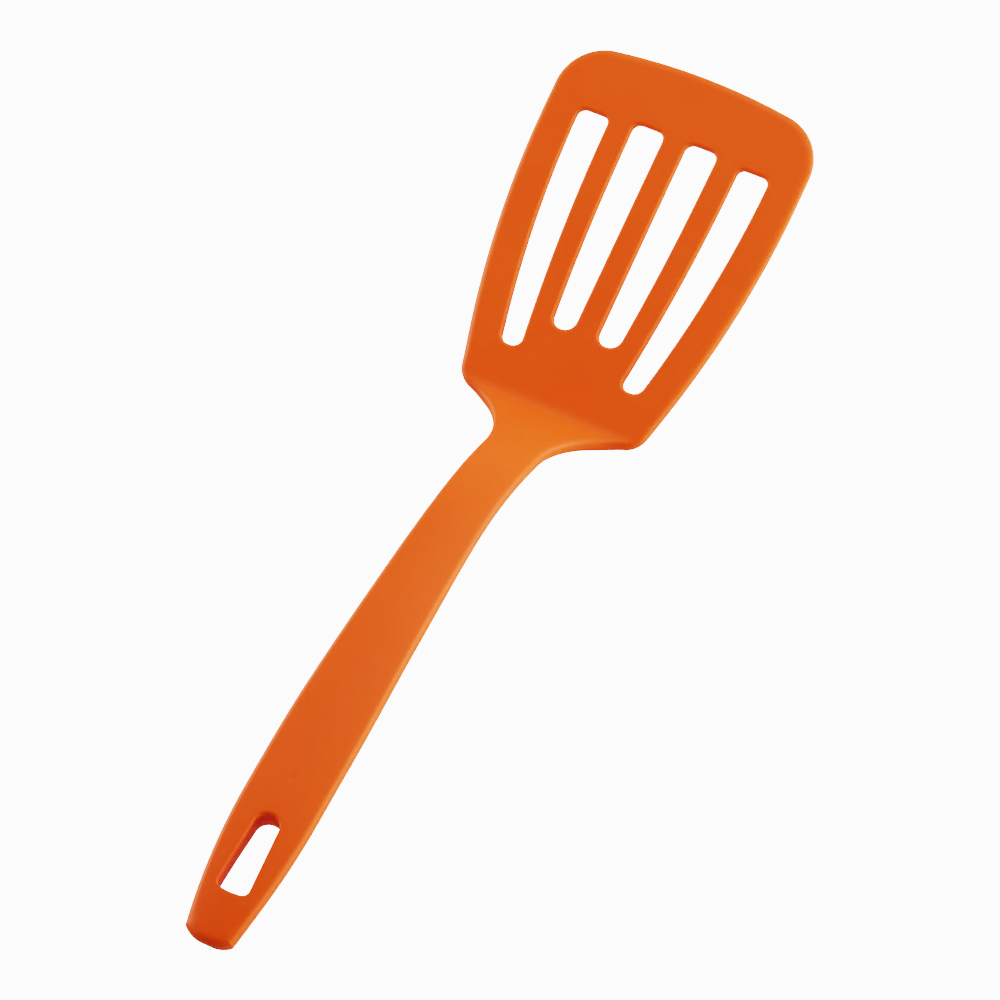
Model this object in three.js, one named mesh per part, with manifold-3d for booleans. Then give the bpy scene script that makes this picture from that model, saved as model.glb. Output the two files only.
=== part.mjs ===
// Slotted kitchen turner: a soft silicone skin moulded over a sprung steel blade and a stiff nylon handle core.
// Millimetres, +Z up, blade towards +Y. It lies as on a table, on its heel and on the end of its handle.
// Every piece is drawn flat, as half widths u from the centre line at distances s from the heel line
// (blade positive, handle negative) and heights n from the middle surface, and is then bent along the profile.
import * as THREE from 'three';
import { mergeVertices } from 'three/addons/utils/BufferGeometryUtils.js';
import Module from 'manifold-3d';

const wasm = await Module();
wasm.setup();
const degree = Math.PI / 180;

// Profile along the centre line, seen from the side
const handleLength = 200.6;
const gripTurn = 15.55 * degree;
const neckBendFrom = 65;
const neckBendTo = 30.88;
const neckTurn = 20.42 * degree;
const heelBendFrom = 5.24;
const heelBendTo = 0.56;
const heelTurn = 45.7 * degree;
const bladeLength = 105.3;

// Thickness of the skinned part
const tipThickness = 2.4;
const heelThickness = 4;
const neckThickness = 4.96;
const neckTop = 2.03;
const gripThickness = 6.7;
const endThickness = 6.07;
const gripTop = 2.34;
const neckCrown = 0.5;
const gripCrown = 0.9;
const thinFrom = 10;
const neckFrontAt = 15;
const neckBackAt = 70;
const gripFrontAt = 92.4;
const gripBackInset = 14.6;

// Soft edges: widths of the upper and lower rounding seen from above, height of the wall between them,
// and the upper rounding's share of the height that is left
const bladeEdge = 2.4;
const bladeWall = 0.5;
const bladeTopShare = 0.5;
const handleTopEdge = 1.6;
const handleUnderEdge = 4.5;
const handleWall = 1;
const handleTopShare = 0.24;
const endEdge = 1.5;

// Blade plan
const bladeHalfWidth = 40;
const widestInset = 23.66;
const sideRadius = 293;
const sideLean = 14.26 * degree;
const tipCrownRadius = 190;
const tipCrownHalf = 25;
const tipCornerRadius = 14.72;
const heelCornerRadius = 7.13;
const shoulderRadius = 24.76;
const shoulderRise = 21.74 * degree;
const shoulderFoot = 9.33;

// Handle plan
const neckHalfWidth = 8.33;
const gripHalfWidth = 11.14;
const neckEndsAt = 56.4;
const swellEndsAt = 131.8;
const swellRadius = 590;
const taperLength = 45.5;
const taperRadius = 221;
const taperLean = 11.83 * degree;
const endCrownRadius = 11.83;
const endCrownSweep = 40.9 * degree;
const endCornerRadius = 1.49;

// Slots, from the blade's side inwards at their foot, middle and top: side band, outer slot, rib, inner slot
const sideBandFoot = 18.18;
const sideBandMid = 10.72;
const sideBandTop = 10.06;
const outerSlotFootWidth = 6.3;
const outerSlotMidWidth = 9.16;
const outerSlotTopWidth = 9.51;
const ribFoot = 5.1;
const ribMid = 7.49;
const ribTop = 7.24;
const centreRib = 7.12;
const outerSlotFrom = 12.46;
const innerSlotFrom = 22.1;
const slotMidAt = 49;
const outerSlotTipBand = 21.09;
const innerSlotTipBand = 19.53;
const outerSlotFootRadius = 3.09;
const innerSlotFootRadius = 3.48;
const slotTopRadius = 2.49;
const slotSideBow = 340;
const slotRibBow = 675;
const slotRim = 0.9;

// Hang hole
const hangEndWall = 14.24;
const hangLength = 23.28;
const hangFrontHalf = 3.55;
const hangBackHalf = 4.83;
const hangFrontCorner = 3.45;
const hangBackCorner = 2.04;
const hangBackLean = 8 * degree;
const hangBackBow = 15;
const hangRim = 0.8;
const crownAtRim = 0.5;

// Sprung steel blade insert
const insertThickness = 0.7;
const insertMargin = 4;
const slotLip = 1.8;
const tangHalfWidth = 3.6;
const tangTo = 60;
const tangCorner = 1;
const keyRadius = 1.75;
const tangKeyAt = 50;
const anchorRadius = 1.6;
const anchorTipInset = 11.6;
const anchorSpacing = 12;
const anchorsEachSide = 2;

// Nylon handle core
const skinWall = 1.2;
const coreSideWall = 1.5;
const coreEndWall = 2;
const coreFrontAt = 13;
const coreCorner = 1.5;
const coreEdge = 0.8;
const coreUnderEdge = 1.6;
const hangLip = 1.2;
const pillarRadius = 2.6;
const pillarFrom = 80;
const pillarHangGap = 31.3;
const pillarCount = 4;

// Studs that hold the core in the mould and end just under the skin's surface
const studRadius = 1.5;
const neckStudAt = 21.2;
const gripStudInset = 49.3;
const studRecess = 0.3;

// Gap between pieces, how far cutters run past a surface, and how finely curves are stepped
const clearance = 0.25;
const overshoot = 1.5;
const curveTolerance = 0.06;
const largestStep = 45 * degree;
const turnStep = 6 * degree;
const edgeSteps = 3;
const faceColumns = 4;
const roundSides = 12;
const mergeTolerance = 1e-3;
const levelPasses = 4;

// The profile is a chain of arcs and straights, given by where each begins and how far it turns.
const bends = [
  { from: -handleLength, to: -neckBendFrom, turn: -gripTurn },
  { from: -neckBendFrom, to: -neckBendTo, turn: -neckTurn },
  { from: -neckBendTo, to: -heelBendFrom, turn: 0 },
  { from: -heelBendFrom, to: heelBendTo, turn: heelTurn },
  { from: heelBendTo, to: bladeLength, turn: 0 },
];
let chain = { y: -handleLength, z: 0, pitch: gripTurn };
for (const bend of bends) {
  bend.start = chain;
  chain = along(bend, bend.to - bend.from);
}

function along(bend, distance) {
  const { y, z, pitch } = bend.start;
  const turned = bend.turn * distance / (bend.to - bend.from);
  const middle = pitch + turned / 2;
  const chord = turned === 0 ? distance : distance * Math.sin(turned / 2) / (turned / 2);
  return { y: y + chord * Math.cos(middle), z: z + chord * Math.sin(middle), pitch: pitch + turned };
}

function profileAt(s) {
  const bend = bends.find((piece) => s <= piece.to) ?? bends.at(-1);
  return along(bend, s - bend.from);
}

// Bends a flat point into its place on the profile.
function place(u, s, n) {
  const { y, z, pitch } = profileAt(s);
  return [u, y - n * Math.sin(pitch), z + n * Math.cos(pitch)];
}

// Reads a smooth curve through [s, value] stations.
function blend(stations, s) {
  const last = stations.length - 1;
  if (s <= stations[0][0]) return stations[0][1];
  if (s >= stations[last][0]) return stations[last][1];
  const after = stations.findIndex(([at]) => at >= s);
  const [s0, v0] = stations[after - 1];
  const [s1, v1] = stations[after];
  return v0 + (v1 - v0) * THREE.MathUtils.smoothstep(s, s0, s1);
}

// Height of the skin above and below the middle surface, without the crown
function above(s) {
  if (s > thinFrom) return bladeHalf(s);
  return blend([
    [-handleLength, endThickness * gripTop / gripThickness],
    [gripBackInset - handleLength, gripTop],
    [-gripFrontAt, gripTop],
    [-neckFrontAt, neckTop],
    [thinFrom, heelThickness / 2],
  ], s);
}

function below(s) {
  if (s > thinFrom) return bladeHalf(s);
  return blend([
    [-handleLength, endThickness * (1 - gripTop / gripThickness)],
    [gripBackInset - handleLength, gripThickness - gripTop],
    [-gripFrontAt, gripThickness - gripTop],
    [-neckBackAt, neckThickness - neckTop],
    [-neckFrontAt, neckThickness - neckTop],
    [thinFrom, heelThickness / 2],
  ], s);
}

function bladeHalf(s) {
  return THREE.MathUtils.mapLinear(s, thinFrom, bladeLength, heelThickness, tipThickness) / 2;
}

function crown(s) {
  return blend([[-gripFrontAt, gripCrown], [-neckFrontAt, neckCrown], [0, 0]], s);
}

// Height of the skin's own middle over the middle surface. The insert lies there.
function skinMiddle(s) {
  return (above(s) - below(s)) / 2;
}

// The soft edge along s: the handle's section has a flat top and a round belly, the blade's is even.
function handleToBlade(handle, blade) {
  return (s) => blend([[-neckFrontAt, handle], [0, blade]], s);
}
const edgeWall = handleToBlade(handleWall, bladeWall);
const topShare = handleToBlade(handleTopShare, bladeTopShare);

function edgeWidth(handle) {
  return (s) => blend([
    [-handleLength, endEdge],
    [gripBackInset - handleLength, handle],
    [-neckFrontAt, handle],
    [0, bladeEdge],
  ], s);
}
const topEdge = edgeWidth(handleTopEdge);
const underEdge = edgeWidth(handleUnderEdge);

// Where two lines meet, each a point and a heading measured from straight ahead (+s) towards the right (+u)
function meet([u0, s0], heading0, [u1, s1], heading1) {
  const cross = Math.sin(heading0 - heading1);
  const t = ((u1 - u0) * Math.cos(heading1) - (s1 - s0) * Math.sin(heading1)) / cross;
  return [u0 + t * Math.sin(heading0), s0 + t * Math.cos(heading0)];
}

// Rounds the corners of a path of [u, s, radius] and returns points with their outward normals.
// A closed path runs anticlockwise. An open one runs up the right of the centre line, from u = 0 to u = 0.
function roundedPath(corners, closed) {
  const points = corners.map(([u, s]) => new THREE.Vector2(u, s));
  const count = points.length;
  const reach = points.map((point, i) => {
    if (!closed && (i === 0 || i === count - 1)) return { length: 0 };
    const before = points[(i + count - 1) % count].clone().sub(point);
    const after = points[(i + 1) % count].clone().sub(point);
    const sharpness = Math.PI - Math.abs(before.angleTo(after));
    const length = corners[i][2] * Math.tan(sharpness / 2);
    return { before, after, sharpness, length };
  });
  const stations = [];
  reach.forEach(({ before, after, sharpness, length }, i) => {
    const point = points[i];
    if (length === 0) {
      stations.push({ u: point.x, s: point.y, nu: 0, ns: i === 0 ? -1 : 1 });
      return;
    }
    const room = [[before, reach[(i + count - 1) % count]], [after, reach[(i + 1) % count]]]
      .map(([side, other]) => side.length() * length / (length + other.length));
    const cut = Math.min(length, ...room);
    const radius = cut / Math.tan(sharpness / 2);
    const into = before.clone().normalize();
    const out = after.clone().normalize();
    const turnsLeft = into.cross(out) < 0;
    const start = point.clone().addScaledVector(into, cut);
    const startNormal = new THREE.Vector2(-into.y, into.x);
    const centre = start.clone().addScaledVector(startNormal, turnsLeft ? -radius : radius);
    const smoothStep = 2 * Math.acos(Math.max(1 - curveTolerance / radius, 0));
    const steps = Math.max(1, Math.ceil(sharpness / Math.min(smoothStep, largestStep)));
    for (let k = 0; k <= steps; k += 1) {
      const turn = (turnsLeft ? 1 : -1) * sharpness * k / steps;
      const normal = startNormal.clone().rotateAround(new THREE.Vector2(), turn);
      const at = centre.clone().addScaledVector(normal, turnsLeft ? radius : -radius);
      stations.push({ u: at.x, s: at.y, nu: normal.x, ns: normal.y });
    }
  });
  return stations;
}

// Adds stations wherever the profile turns too far from one station to the next.
function stepped(stations) {
  return stations.flatMap((a, i) => {
    const b = stations[i + 1];
    if (!b) return [a];
    const middle = (a.s + b.s) / 2;
    const turn = Math.abs(profileAt(middle).pitch - profileAt(a.s).pitch)
      + Math.abs(profileAt(b.s).pitch - profileAt(middle).pitch);
    const steps = Math.max(1, Math.ceil(turn / turnStep));
    return Array.from({ length: steps }, (_, k) => {
      const t = k / steps;
      const normal = new THREE.Vector2(a.nu, a.ns).lerp(new THREE.Vector2(b.nu, b.ns), t).normalize();
      return { u: a.u + (b.u - a.u) * t, s: a.s + (b.s - a.s) * t, nu: normal.x, ns: normal.y };
    });
  });
}

function toGeometry(positions, indices) {
  const geometry = new THREE.BufferGeometry();
  geometry.setAttribute('position', new THREE.Float32BufferAttribute(positions, 3));
  geometry.setIndex(indices);
  return geometry;
}

// Turns a three.js geometry into a solid that can be joined and cut.
function toSolid(geometry) {
  geometry.deleteAttribute('normal');
  geometry.deleteAttribute('uv');
  const merged = mergeVertices(geometry, mergeTolerance);
  const index = merged.index.array;
  const triangles = [];
  for (let t = 0; t < index.length; t += 3) {
    const [a, b, c] = [index[t], index[t + 1], index[t + 2]];
    if (a !== b && b !== c && c !== a) triangles.push(a, b, c);
  }
  return new wasm.Manifold(new wasm.Mesh({
    numProp: 3,
    vertProperties: new Float32Array(merged.attributes.position.array),
    triVerts: new Uint32Array(triangles),
  }));
}

// A bent slab: rings that go round the slab at each station, joined one to the next.
// rim(s) lists [inset, n] from the top edge to the bottom edge, and lift(s) raises the middle of the top face.
function slab(stations, rim, columns, lift) {
  const rings = stations.map(({ u, s, nu, ns }) => {
    const right = rim(s).map(([inset, n]) => [Math.max(u - inset * nu, 0), s - inset * ns, n]);
    const left = right.map(([x, y, n]) => [-x, y, n]).reverse();
    const [top, bottom] = [right[0], right.at(-1)];
    const face = ([half, at, n], raise, sign) => Array.from({ length: columns - 1 }, (_, k) => {
      const f = sign * (1 - 2 * (k + 1) / columns);
      return [half * f, at, n + raise * (1 - f * f)];
    });
    return [...right, ...face(bottom, 0, 1), ...left, ...face(top, lift(top[1]), -1)];
  });
  const around = rings[0].length;
  const positions = rings.flat().flatMap(([u, s, n]) => place(u, s, n));
  const indices = [];
  for (let i = 0; i + 1 < rings.length; i += 1) {
    for (let j = 0; j < around; j += 1) {
      const next = (j + 1) % around;
      const [a, b, c, d] = [i * around + j, i * around + next, (i + 1) * around + j, (i + 1) * around + next];
      indices.push(a, b, d, a, d, c);
    }
  }
  return toSolid(toGeometry(positions, indices));
}

// A cutter through the slab: copies of a closed outline, one for each level of [spread, n], with flat ends.
function cutter(outline, levels) {
  const around = outline.length;
  const count = levels(outline[0].s).length;
  const positions = [];
  for (let level = 0; level < count; level += 1) {
    for (const { u, s, nu, ns } of outline) {
      const [spread, n] = levels(s)[level];
      positions.push(...place(u + spread * nu, s + spread * ns, n));
    }
  }
  const indices = [];
  for (let level = 0; level + 1 < count; level += 1) {
    for (let j = 0; j < around; j += 1) {
      const next = (j + 1) % around;
      const [a, b] = [level * around + j, level * around + next];
      indices.push(a, b, b + around, a, b + around, a + around);
    }
  }
  const flat = outline.map(({ u, s }) => new THREE.Vector2(u, s));
  const top = (count - 1) * around;
  for (const [a, b, c] of THREE.ShapeUtils.triangulateShape(flat, [])) {
    indices.push(c, b, a, top + a, top + b, top + c);
  }
  return toSolid(toGeometry(positions, indices));
}

// Levels of a plain cutter that passes right through
function straightCut(s) {
  return [[0, -below(s) - overshoot], [0, above(s) + crown(s) + overshoot]];
}

// Levels of a cutter that leaves its hole's rims rounded, in two facets of a quarter round
function roundedCut(rim) {
  const facet = rim * (1 - Math.SQRT1_2);
  const flare = (rim - facet) / facet;
  const half = [[rim + flare * overshoot, overshoot], [facet, -facet], [0, -rim]];
  return (s) => [
    ...half.map(([spread, n]) => [spread, -below(s) - n]),
    ...half.map(([spread, n]) => [spread, above(s) + crown(s) * crownAtRim + n]).reverse(),
  ];
}

function circle(radius, u, s) {
  return Array.from({ length: roundSides }, (_, k) => {
    const angle = 2 * Math.PI * k / roundSides;
    const [nu, ns] = [Math.cos(angle), Math.sin(angle)];
    return { u: u + radius * nu, s: s + radius * ns, nu, ns };
  });
}

function grown(outline, margin) {
  return outline.map(({ u, s, nu, ns }) => ({ u: u + margin * nu, s: s + margin * ns, nu, ns }));
}

function mirrored(outline) {
  return outline.map(({ u, s, nu, ns }) => ({ u: -u, s, nu: -nu, ns })).reverse();
}

function cutAll(solid, tools) {
  return tools.reduce((left, tool) => left.subtract(tool), solid);
}

// Corners of the blade's half outline, drawn in from the real edge by a margin
function bladeCorners(margin, footHalfWidth, foot) {
  const lean = Math.tan(sideLean / 2);
  const half = bladeHalfWidth - margin;
  const tip = bladeLength - margin;
  const crownSweep = Math.asin(tipCrownHalf / tipCrownRadius);
  const crownCorner = tipCrownRadius * Math.tan(crownSweep / 2);
  const side = [half, bladeLength - widestInset - sideRadius * lean + margin * lean];
  const heel = meet([footHalfWidth, foot], Math.PI / 2 - shoulderRise, side, sideLean);
  return [
    [footHalfWidth, foot, shoulderRadius + margin],
    [...heel, Math.max(heelCornerRadius - margin, tangCorner)],
    [...side, sideRadius - margin],
    [half, tip - (half - crownCorner) * Math.tan(crownSweep), tipCornerRadius - margin],
    [crownCorner, tip, tipCrownRadius - margin],
    [0, tip],
  ];
}

// Corners of the handle's half outline, drawn in from the real edge by a margin
function handleCorners(margin) {
  const half = gripHalfWidth - margin;
  return [
    [half, taperLength - handleLength - taperRadius * Math.tan(taperLean / 2), taperRadius],
    [half, -swellEndsAt, swellRadius],
    [neckHalfWidth - margin, -neckEndsAt, swellRadius],
  ];
}

function skinOutline() {
  const handle = handleCorners(0);
  const crownCorner = [endCrownRadius * Math.tan(endCrownSweep / 2), -handleLength];
  const endCorner = meet(crownCorner, Math.PI / 2 - endCrownSweep, handle[0], taperLean);
  return roundedPath([
    [0, -handleLength],
    [...crownCorner, endCrownRadius],
    [...endCorner, endCornerRadius],
    ...handle,
    ...bladeCorners(0, neckHalfWidth, -shoulderFoot),
  ], false);
}

// Soft outer form of the turner, before anything is cut out of it
function skinBody() {
  const rim = (s) => {
    const [top, bottom] = [above(s), -below(s)];
    const rounded = top - bottom - Math.min(edgeWall(s), (top - bottom) / 2);
    const upper = rounded * topShare(s);
    const quarter = Array.from({ length: edgeSteps + 1 }, (_, k) => {
      const angle = Math.PI / 2 * k / edgeSteps;
      return [1 - Math.sin(angle), 1 - Math.cos(angle)];
    });
    return [
      ...quarter.map(([inset, drop]) => [topEdge(s) * inset, top - upper * drop]),
      ...quarter.map(([inset, rise]) => [underEdge(s) * inset, bottom + (rounded - upper) * rise]).reverse(),
    ];
  };
  return slab(stepped(skinOutline()), rim, faceColumns, crown);
}

function slotOutlines() {
  const bands = [sideBandFoot, sideBandMid, sideBandTop];
  const widths = [outerSlotFootWidth, outerSlotMidWidth, outerSlotTopWidth];
  const ribs = [ribFoot, ribMid, ribTop];
  const outerFar = bands.map((band) => bladeHalfWidth - band);
  const outerNear = outerFar.map((far, level) => far - widths[level]);
  const innerFar = outerNear.map((near, level) => near - ribs[level]);
  const innerNear = centreRib / 2;
  const outerTo = bladeLength - outerSlotTipBand;
  const innerTo = bladeLength - innerSlotTipBand;
  const inner = roundedPath([
    [innerNear, innerSlotFrom, innerSlotFootRadius],
    [innerFar[0], innerSlotFrom, innerSlotFootRadius],
    [innerFar[1], slotMidAt, slotRibBow],
    [innerFar[2], innerTo, slotTopRadius],
    [innerNear, innerTo, slotTopRadius],
  ], true);
  const outer = roundedPath([
    [outerNear[0], outerSlotFrom, outerSlotFootRadius],
    [outerFar[0], outerSlotFrom, outerSlotFootRadius],
    [outerFar[1], slotMidAt, slotSideBow],
    [outerFar[2], outerTo, slotTopRadius],
    [outerNear[2], outerTo, slotTopRadius],
    [outerNear[1], slotMidAt, slotRibBow],
  ], true);
  return [inner, outer, mirrored(inner), mirrored(outer)];
}

function hangOutline() {
  const back = hangEndWall - handleLength;
  const front = back + hangLength;
  const backCorner = back + hangBackHalf * Math.tan(hangBackLean);
  return roundedPath([
    [0, back, hangBackBow],
    [hangBackHalf, backCorner, hangBackCorner],
    [hangFrontHalf, front, hangFrontCorner],
    [-hangFrontHalf, front, hangFrontCorner],
    [-hangBackHalf, backCorner, hangBackCorner],
  ], true);
}

// Steel plate in the blade with a tang that runs back into the handle core. grow swells it on every side.
function insertBody(grow) {
  const outline = stepped(roundedPath([
    [0, -tangTo],
    [tangHalfWidth, -tangTo, tangCorner],
    ...bladeCorners(insertMargin, tangHalfWidth, -shoulderFoot + insertMargin),
  ], false));
  const half = insertThickness / 2 + grow;
  const rim = (s) => [[0, skinMiddle(s) + half], [0, skinMiddle(s) - half]];
  const plate = slab(grown(outline, grow), rim, 1, () => 0);
  const anchors = [];
  for (let k = -anchorsEachSide; k <= anchorsEachSide; k += 1) {
    anchors.push(circle(anchorRadius - grow, k * anchorSpacing, bladeLength - anchorTipInset));
  }
  const keys = [neckStudAt, tangKeyAt].map((at) => circle(keyRadius - grow, 0, -at));
  const slots = slotOutlines().map((slot) => grown(slot, slotLip - grow));
  return cutAll(plate, [...slots, ...anchors, ...keys].map((hole) => cutter(hole, straightCut)));
}

// Nylon bar in the handle, with a loop round the hang hole. grow swells it on every side.
function coreBody(grow) {
  const handle = handleCorners(coreSideWall);
  const back = [0, coreEndWall - handleLength];
  const outline = stepped(roundedPath([
    back,
    [...meet(back, Math.PI / 2, handle[0], taperLean), coreCorner],
    ...handle,
    [neckHalfWidth - coreSideWall, -coreFrontAt, coreCorner],
    [0, -coreFrontAt],
  ], false));
  const rim = (s) => {
    const top = above(s) - skinWall + grow;
    const bottom = below(s) - skinWall + grow;
    const [edge, under] = [coreEdge, coreUnderEdge].map((size) => Math.min(size, (top + bottom) / 2));
    return [[edge, top], [0, top - edge], [0, under - bottom], [under, -bottom]];
  };
  const bar = slab(grown(outline, grow), rim, 1, () => 0);
  const holes = [grown(hangOutline(), hangLip - grow)];
  const lastPillar = handleLength - hangEndWall - hangLength - pillarHangGap;
  for (let k = 0; k < pillarCount; k += 1) {
    const at = THREE.MathUtils.lerp(pillarFrom, lastPillar, k / (pillarCount - 1));
    holes.push(circle(pillarRadius - grow, 0, -at));
  }
  const open = cutAll(bar, holes.map((hole) => cutter(hole, straightCut)));
  const reach = grow > 0 ? overshoot : -studRecess;
  const stud = (s) => [[0, -below(s) - reach], [0, above(s) + crown(s) + reach]];
  return [-neckStudAt, gripStudInset - handleLength]
    .map((at) => cutter(circle(studRadius + grow, 0, at), stud))
    .reduce((joined, post) => joined.add(post), open);
}

function toMesh(solid, name, material) {
  const { vertProperties, triVerts } = solid.getMesh();
  const geometry = toGeometry(vertProperties, Array.from(triVerts));
  geometry.computeVertexNormals();
  const mesh = new THREE.Mesh(geometry, material);
  mesh.name = name;
  return mesh;
}

const insertSpace = insertBody(clearance);
const coreSpace = coreBody(clearance);
const slotCuts = slotOutlines().map((slot) => cutter(slot, roundedCut(slotRim)));
const hangCut = cutter(hangOutline(), roundedCut(hangRim));

const bladeInsert = insertBody(0);
const handleCore = coreBody(0).subtract(insertSpace);
const siliconeSkin = cutAll(skinBody(), [insertSpace, coreSpace, ...slotCuts, hangCut]);

const silicone = new THREE.MeshStandardMaterial({ color: '#e0631f', roughness: 0.55, metalness: 0 });
const nylon = new THREE.MeshStandardMaterial({ color: '#d98a4a', roughness: 0.6, metalness: 0 });
const steel = new THREE.MeshStandardMaterial({ color: '#b9bcc0', roughness: 0.35, metalness: 1 });

const turner = new THREE.Group();
turner.add(
  toMesh(siliconeSkin, 'silicone_skin', silicone),
  toMesh(handleCore, 'handle_core', nylon),
  toMesh(bladeInsert, 'blade_insert', steel),
);

// Turns the turner until its heel and the end of its handle are level, which takes a few passes.
for (let pass = 0; pass < levelPasses; pass += 1) {
  turner.updateMatrixWorld(true);
  const position = turner.getObjectByName('silicone_skin').geometry.attributes.position;
  const lowest = { back: new THREE.Vector3(0, 0, Infinity), front: new THREE.Vector3(0, 0, Infinity) };
  const heelBack = place(0, -neckBendFrom, 0)[1];
  const corner = new THREE.Vector3();
  for (let i = 0; i < position.count; i += 1) {
    const end = position.getY(i) < heelBack ? lowest.back : lowest.front;
    corner.fromBufferAttribute(position, i).applyMatrix4(turner.matrixWorld);
    if (corner.z < end.z) end.copy(corner);
  }
  turner.rotation.x += (lowest.back.z - lowest.front.z) / (lowest.front.y - lowest.back.y);
}

// The origin is under the middle of the turner, on the table.
const box = new THREE.Box3().setFromObject(turner, true);
const centre = box.getCenter(new THREE.Vector3());
turner.position.set(-centre.x, -centre.y, -box.min.z);

const scene = new THREE.Group();
scene.add(turner);
export default scene;
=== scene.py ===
# %% [markdown]
# # A slotted turner in moulded silicone
# A turner like this is one soft orange skin, moulded over a steel blade insert and a nylon handle core.
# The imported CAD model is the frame: the two inner pieces stay as they are and only get a finish. The skin
# is what the eye sees, so it is modelled again here as one fine, closed surface in the same place.

# %% Load the frame
import math

import bpy
import numpy as np
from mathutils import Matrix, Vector
from mathutils.geometry import delaunay_2d_cdt


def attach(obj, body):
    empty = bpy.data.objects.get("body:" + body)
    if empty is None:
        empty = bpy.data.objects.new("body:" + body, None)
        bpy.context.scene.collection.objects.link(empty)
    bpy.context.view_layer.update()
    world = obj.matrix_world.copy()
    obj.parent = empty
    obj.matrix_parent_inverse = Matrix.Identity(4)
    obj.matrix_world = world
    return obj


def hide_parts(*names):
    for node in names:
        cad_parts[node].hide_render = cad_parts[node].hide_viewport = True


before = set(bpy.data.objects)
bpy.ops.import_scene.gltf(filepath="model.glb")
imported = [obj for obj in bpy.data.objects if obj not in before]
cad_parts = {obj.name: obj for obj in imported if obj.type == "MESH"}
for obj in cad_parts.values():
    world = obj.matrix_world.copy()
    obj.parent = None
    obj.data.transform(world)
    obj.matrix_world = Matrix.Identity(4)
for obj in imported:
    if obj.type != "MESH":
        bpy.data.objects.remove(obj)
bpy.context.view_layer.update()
MM = 0.001
DEGREE = math.pi / 180

# %% [markdown]
# ## The bent centre line
# Seen from the side, the handle is one long arch, the neck dips towards the blade, and the blade rises
# from a heel. The turner could be bent with a Curve modifier, but a formula keeps every point exactly
# where it belongs. So the turner is drawn flat, with u across, s along and n up, and each point is then
# bent along this line. The curvature is a few flat steps that are blurred a little, because a mould maker
# leaves no sudden change.

# %% The centre line, worked out once on fine steps
HANDLE_LENGTH = 200.6
BLADE_LENGTH = 105.3
GRIP_TURN = 15.55 * DEGREE
NECK_BEND_FROM = -65.0
NECK_BEND_TO = -30.88
NECK_TURN = 20.42 * DEGREE
HEEL_BEND_FROM = -5.24
HEEL_BEND_TO = 0.56
HEEL_TURN = 45.7 * DEGREE
BEND_BLUR = 4.0
LINE_STEP = 0.05
LINE_SPARE = 10.0


def centre_line():
    """Curvature steps, blurred by a raised cosine, summed once for the pitch and again for the place."""
    s = np.arange(-HANDLE_LENGTH - LINE_SPARE, BLADE_LENGTH + LINE_SPARE, LINE_STEP)
    curvature = np.zeros_like(s)
    for start, end, turn in (
        (-HANDLE_LENGTH, NECK_BEND_FROM, -GRIP_TURN),
        (NECK_BEND_FROM, NECK_BEND_TO, -NECK_TURN),
        (HEEL_BEND_FROM, HEEL_BEND_TO, HEEL_TURN),
    ):
        bent = (s >= start) & (s < end)
        curvature[bent] = turn / (bent.sum() * LINE_STEP)
    window = np.hanning(round(BEND_BLUR / LINE_STEP) + 1)
    curvature = np.convolve(curvature, window / window.sum(), mode="same")
    pitch = GRIP_TURN + np.cumsum(curvature) * LINE_STEP
    y = np.cumsum(np.cos(pitch)) * LINE_STEP
    z = np.cumsum(np.sin(pitch)) * LINE_STEP
    return s, pitch, y, z


LINE_S, LINE_PITCH, LINE_Y, LINE_Z = centre_line()
print("centre line:", len(LINE_S), "points,", LINE_STEP, "mm apart")


# %% Bend a flat point along the line
def bend(u, s, n):
    """A flat point stays u to the side and goes n along the line's normal at s."""
    pitch = np.interp(s, LINE_S, LINE_PITCH)
    y = np.interp(s, LINE_S, LINE_Y) - n * np.sin(pitch)
    z = np.interp(s, LINE_S, LINE_Z) + n * np.cos(pitch)
    return np.stack([u, y, z], axis=-1)


print("pitch at the handle's end, neck and blade, degrees:",
      np.round(np.interp([-HANDLE_LENGTH, NECK_BEND_TO, BLADE_LENGTH], LINE_S, LINE_PITCH) / DEGREE, 2))

# %% [markdown]
# ## How thick the skin is
# The blade thins towards its tip so that it slides under food, and the grip is full enough for a closed
# hand. Each measure is a smooth curve through a few stations along s, which is what a mould drawing would
# give.

# %% A smooth curve through stations
def through(stations, s):
    """A curve through (s, value) stations that is level at each one, with a cubic ease between them."""
    at, value = np.array(sorted(stations)).T
    after = np.clip(np.searchsorted(at, s), 1, len(at) - 1)
    t = np.clip((s - at[after - 1]) / (at[after] - at[after - 1]), 0, 1)
    return value[after - 1] + (value[after] - value[after - 1]) * t * t * (3 - 2 * t)


# %% Thickness along the turner
TIP_THICKNESS = 2.4
HEEL_THICKNESS = 4.0
NECK_THICKNESS = 4.96
NECK_TOP = 2.03
GRIP_THICKNESS = 6.7
END_THICKNESS = 6.07
GRIP_TOP = 2.34
THIN_FROM = 10.0
NECK_FRONT = -15.0
NECK_BACK = -70.0
GRIP_FRONT = -92.4
GRIP_BACK = 14.6 - HANDLE_LENGTH


def blade_half(s):
    """Half of a blade thickness that falls evenly from the heel to the tip."""
    return np.interp(s, [THIN_FROM, BLADE_LENGTH], [HEEL_THICKNESS / 2, TIP_THICKNESS / 2])


def above(s):
    """Height of the top face over the centre line, without its crown."""
    share = GRIP_TOP / GRIP_THICKNESS
    handle = through([(-HANDLE_LENGTH, END_THICKNESS * share), (GRIP_BACK, GRIP_TOP), (GRIP_FRONT, GRIP_TOP),
                      (NECK_FRONT, NECK_TOP), (THIN_FROM, HEEL_THICKNESS / 2)], s)
    return np.where(s > THIN_FROM, blade_half(s), handle)


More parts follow.
